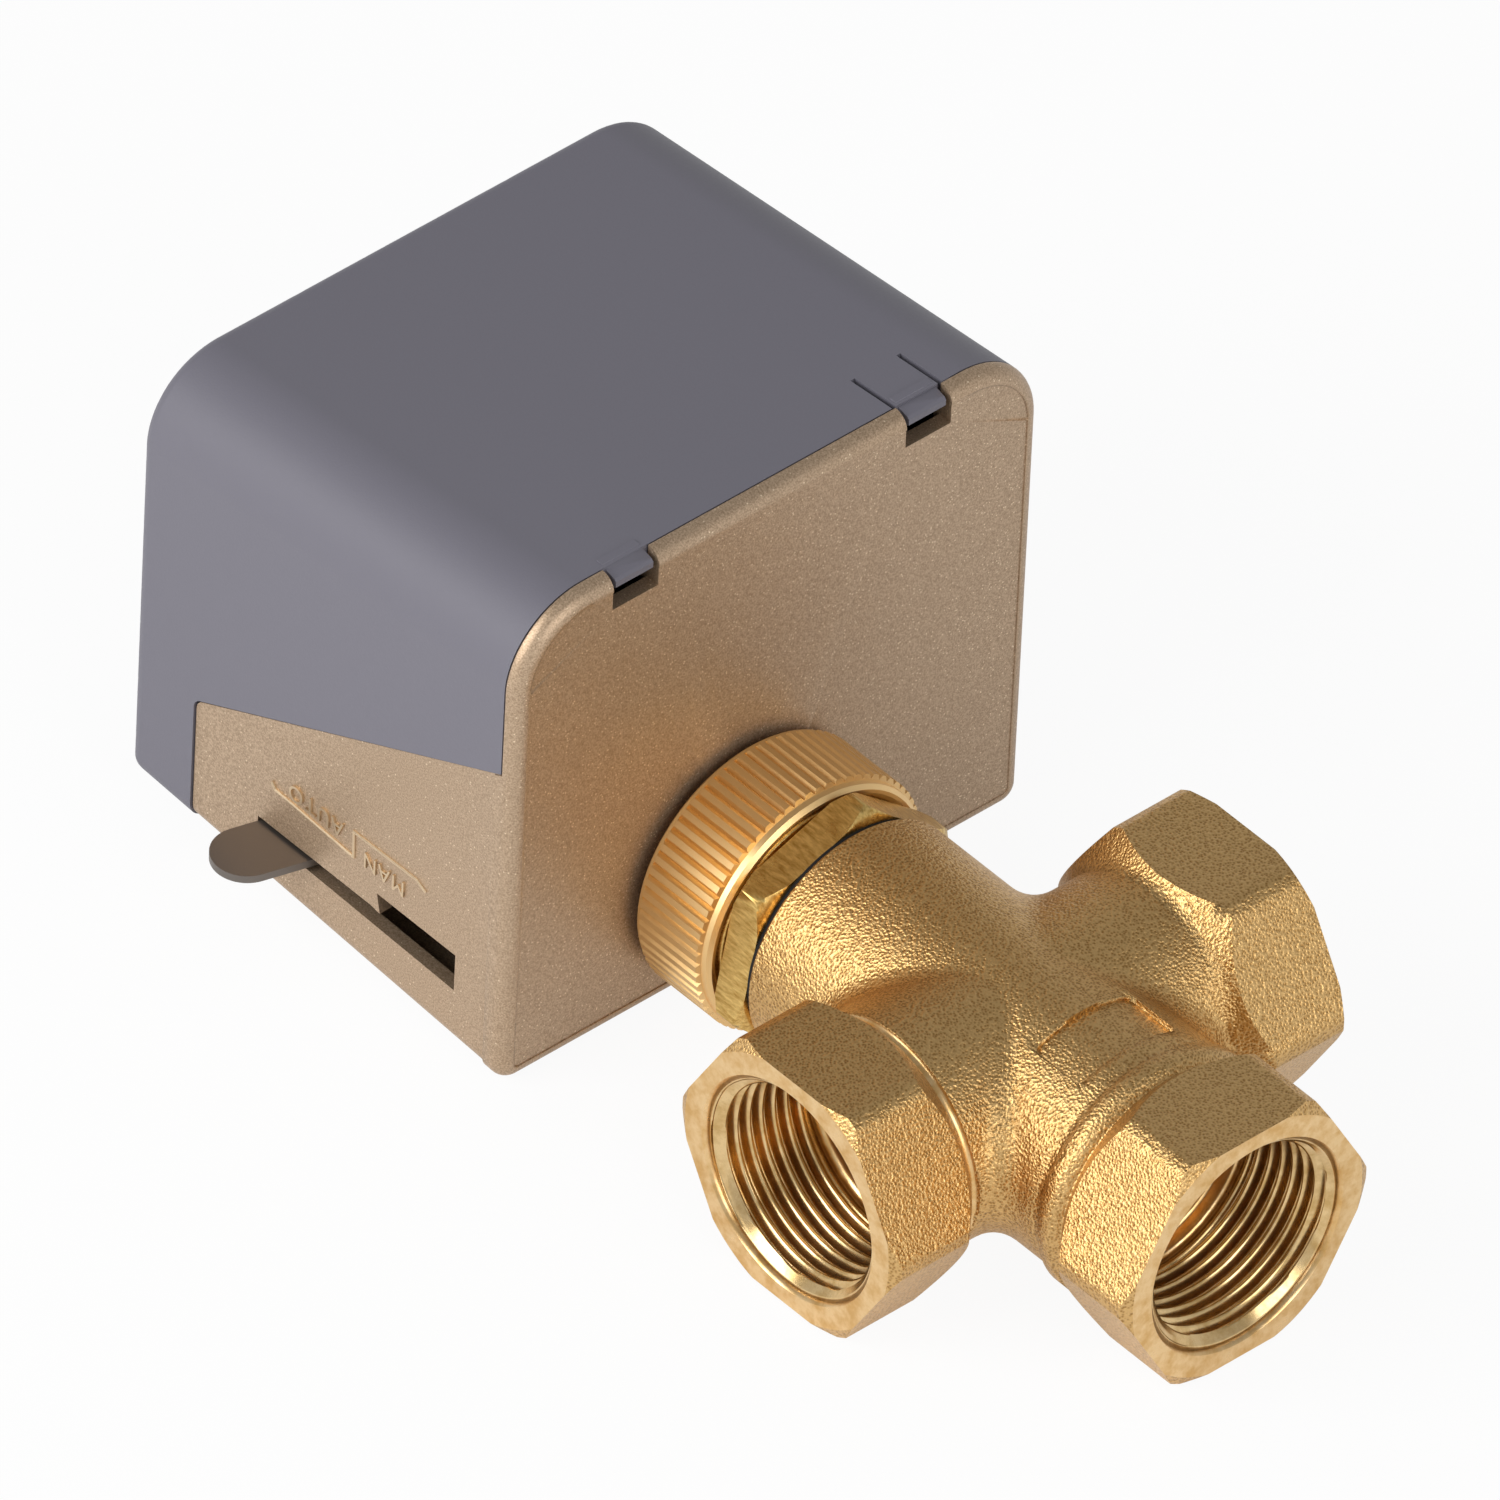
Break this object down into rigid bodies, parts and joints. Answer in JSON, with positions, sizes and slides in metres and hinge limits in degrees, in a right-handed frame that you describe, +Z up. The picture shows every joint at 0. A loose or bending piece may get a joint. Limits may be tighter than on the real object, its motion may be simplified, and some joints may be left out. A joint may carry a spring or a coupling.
{
  "type": "fan coil control valve",
  "caption": "Three-way brass zone valve with female threaded ports, a knurled coupling nut and a clip-covered motor actuator with a side hand lever.",
  "frame": {"origin": "on the stem axis 1 mm inside the end port's mouth, at the first full thread", "axes": "+X along the stem axis out of the end port, Y along the through run, +Z up as the valve lies with its actuator on its side"},
  "size_m": [0.1462, 0.0882, 0.0671],
  "materials": {
    "cast_brass": "forged, sand-blasted",
    "turned_brass": "machined",
    "gold_lacquer": "metallic champagne lacquer, satin",
    "grey_cover": "satin",
    "steel": "bright zinc plated",
    "stainless": "polished",
    "spring_steel": "oiled",
    "lever_steel": "dull",
    "nylon": "natural",
    "black_plastic": "matt",
    "rubber": "matt",
    "fibre": "matt",
    "motor_zinc": "bright"
  },
  "bodies": {
    "valve": {"valve_body": "cast_brass", "seat_ring": "turned_brass", "bonnet_gasket": "fibre", "bonnet": "turned_brass", "gland_seals": "rubber", "gland_bush": "nylon"},
    "stem": {"stem": "stainless", "plug": "turned_brass", "plug_seals": "rubber", "plug_nut": "turned_brass", "spring_cap": "turned_brass", "stem_clip": "spring_steel", "valve_spring": "stainless"},
    "actuator": {"base_casting": "gold_lacquer", "rod_bush": "turned_brass", "nut_ring": "spring_steel", "pivot_shaft": "stainless", "frame_plate": "steel", "frame_screws": "steel", "motor_plate": "steel", "motor_can": "motor_zinc", "motor_screws": "steel", "terminal_block": "black_plastic", "terminal_screws": "steel", "cable_grommet": "rubber", "earth_screw": "turned_brass", "return_spring": "spring_steel"},
    "nut": {"coupling_nut": "turned_brass"},
    "cover": {"cover": "grey_cover"},
    "lever": {"manual_lever": "lever_steel", "sector_gear": "steel", "roller_pin": "stainless"},
    "roller": {"roller": "nylon"},
    "pinion": {"motor_pinion": "nylon", "motor_shaft": "stainless"},
    "rod": {"push_rod": "stainless", "rod_clip": "spring_steel"}
  },
  "joints": [
    {"name": "actuator_swivel", "type": "hinge", "parent": "valve", "child": "actuator", "pos_m": [-0.079, 0, 0], "axis": [1, 0, 0], "continuous": true},
    {"name": "stem_slide", "type": "slide", "parent": "valve", "child": "stem", "axis": [1, 0, 0], "range_m": [-0.0002, 0.0042], "deforming": ["valve_spring"]},
    {"name": "nut_turn", "type": "hinge", "parent": "actuator", "child": "nut", "pos_m": [-0.0756, 0, 0], "axis": [1, 0, 0], "continuous": true},
    {"name": "cover_off", "type": "slide", "parent": "actuator", "child": "cover", "axis": [-1, 0, 0], "range_m": [0, 0.075]},
    {"name": "lever_swing", "type": "hinge", "parent": "actuator", "child": "lever", "pos_m": [-0.1084, 0.0055, -0.0058], "axis": [0, 0, 1], "range_deg": [0, 30.92], "deforming": ["return_spring"]},
    {"name": "roller_turn", "type": "hinge", "parent": "lever", "child": "roller", "pos_m": [-0.11013, -0.00076, 0], "axis": [0, 0, 1], "continuous": true},
    {"name": "pinion_turn", "type": "hinge", "parent": "actuator", "child": "pinion", "pos_m": [-0.13222, 0.01925, 0.0045], "axis": [0, 0, 1], "range_deg": [-150, 8]},
    {"name": "rod_slide", "type": "slide", "parent": "actuator", "child": "rod", "axis": [1, 0, 0], "range_m": [-0.0002, 0.0042]}
  ],
  "couplings": [
    {"joint": "pinion_turn", "follows": "lever_swing", "ratio": -4},
    {"joint": "rod_slide", "follows": "lever_swing", "m_per_rad": 0.006421},
    {"joint": "stem_slide", "follows": "lever_swing", "m_per_rad": 0.006421}
  ]
}
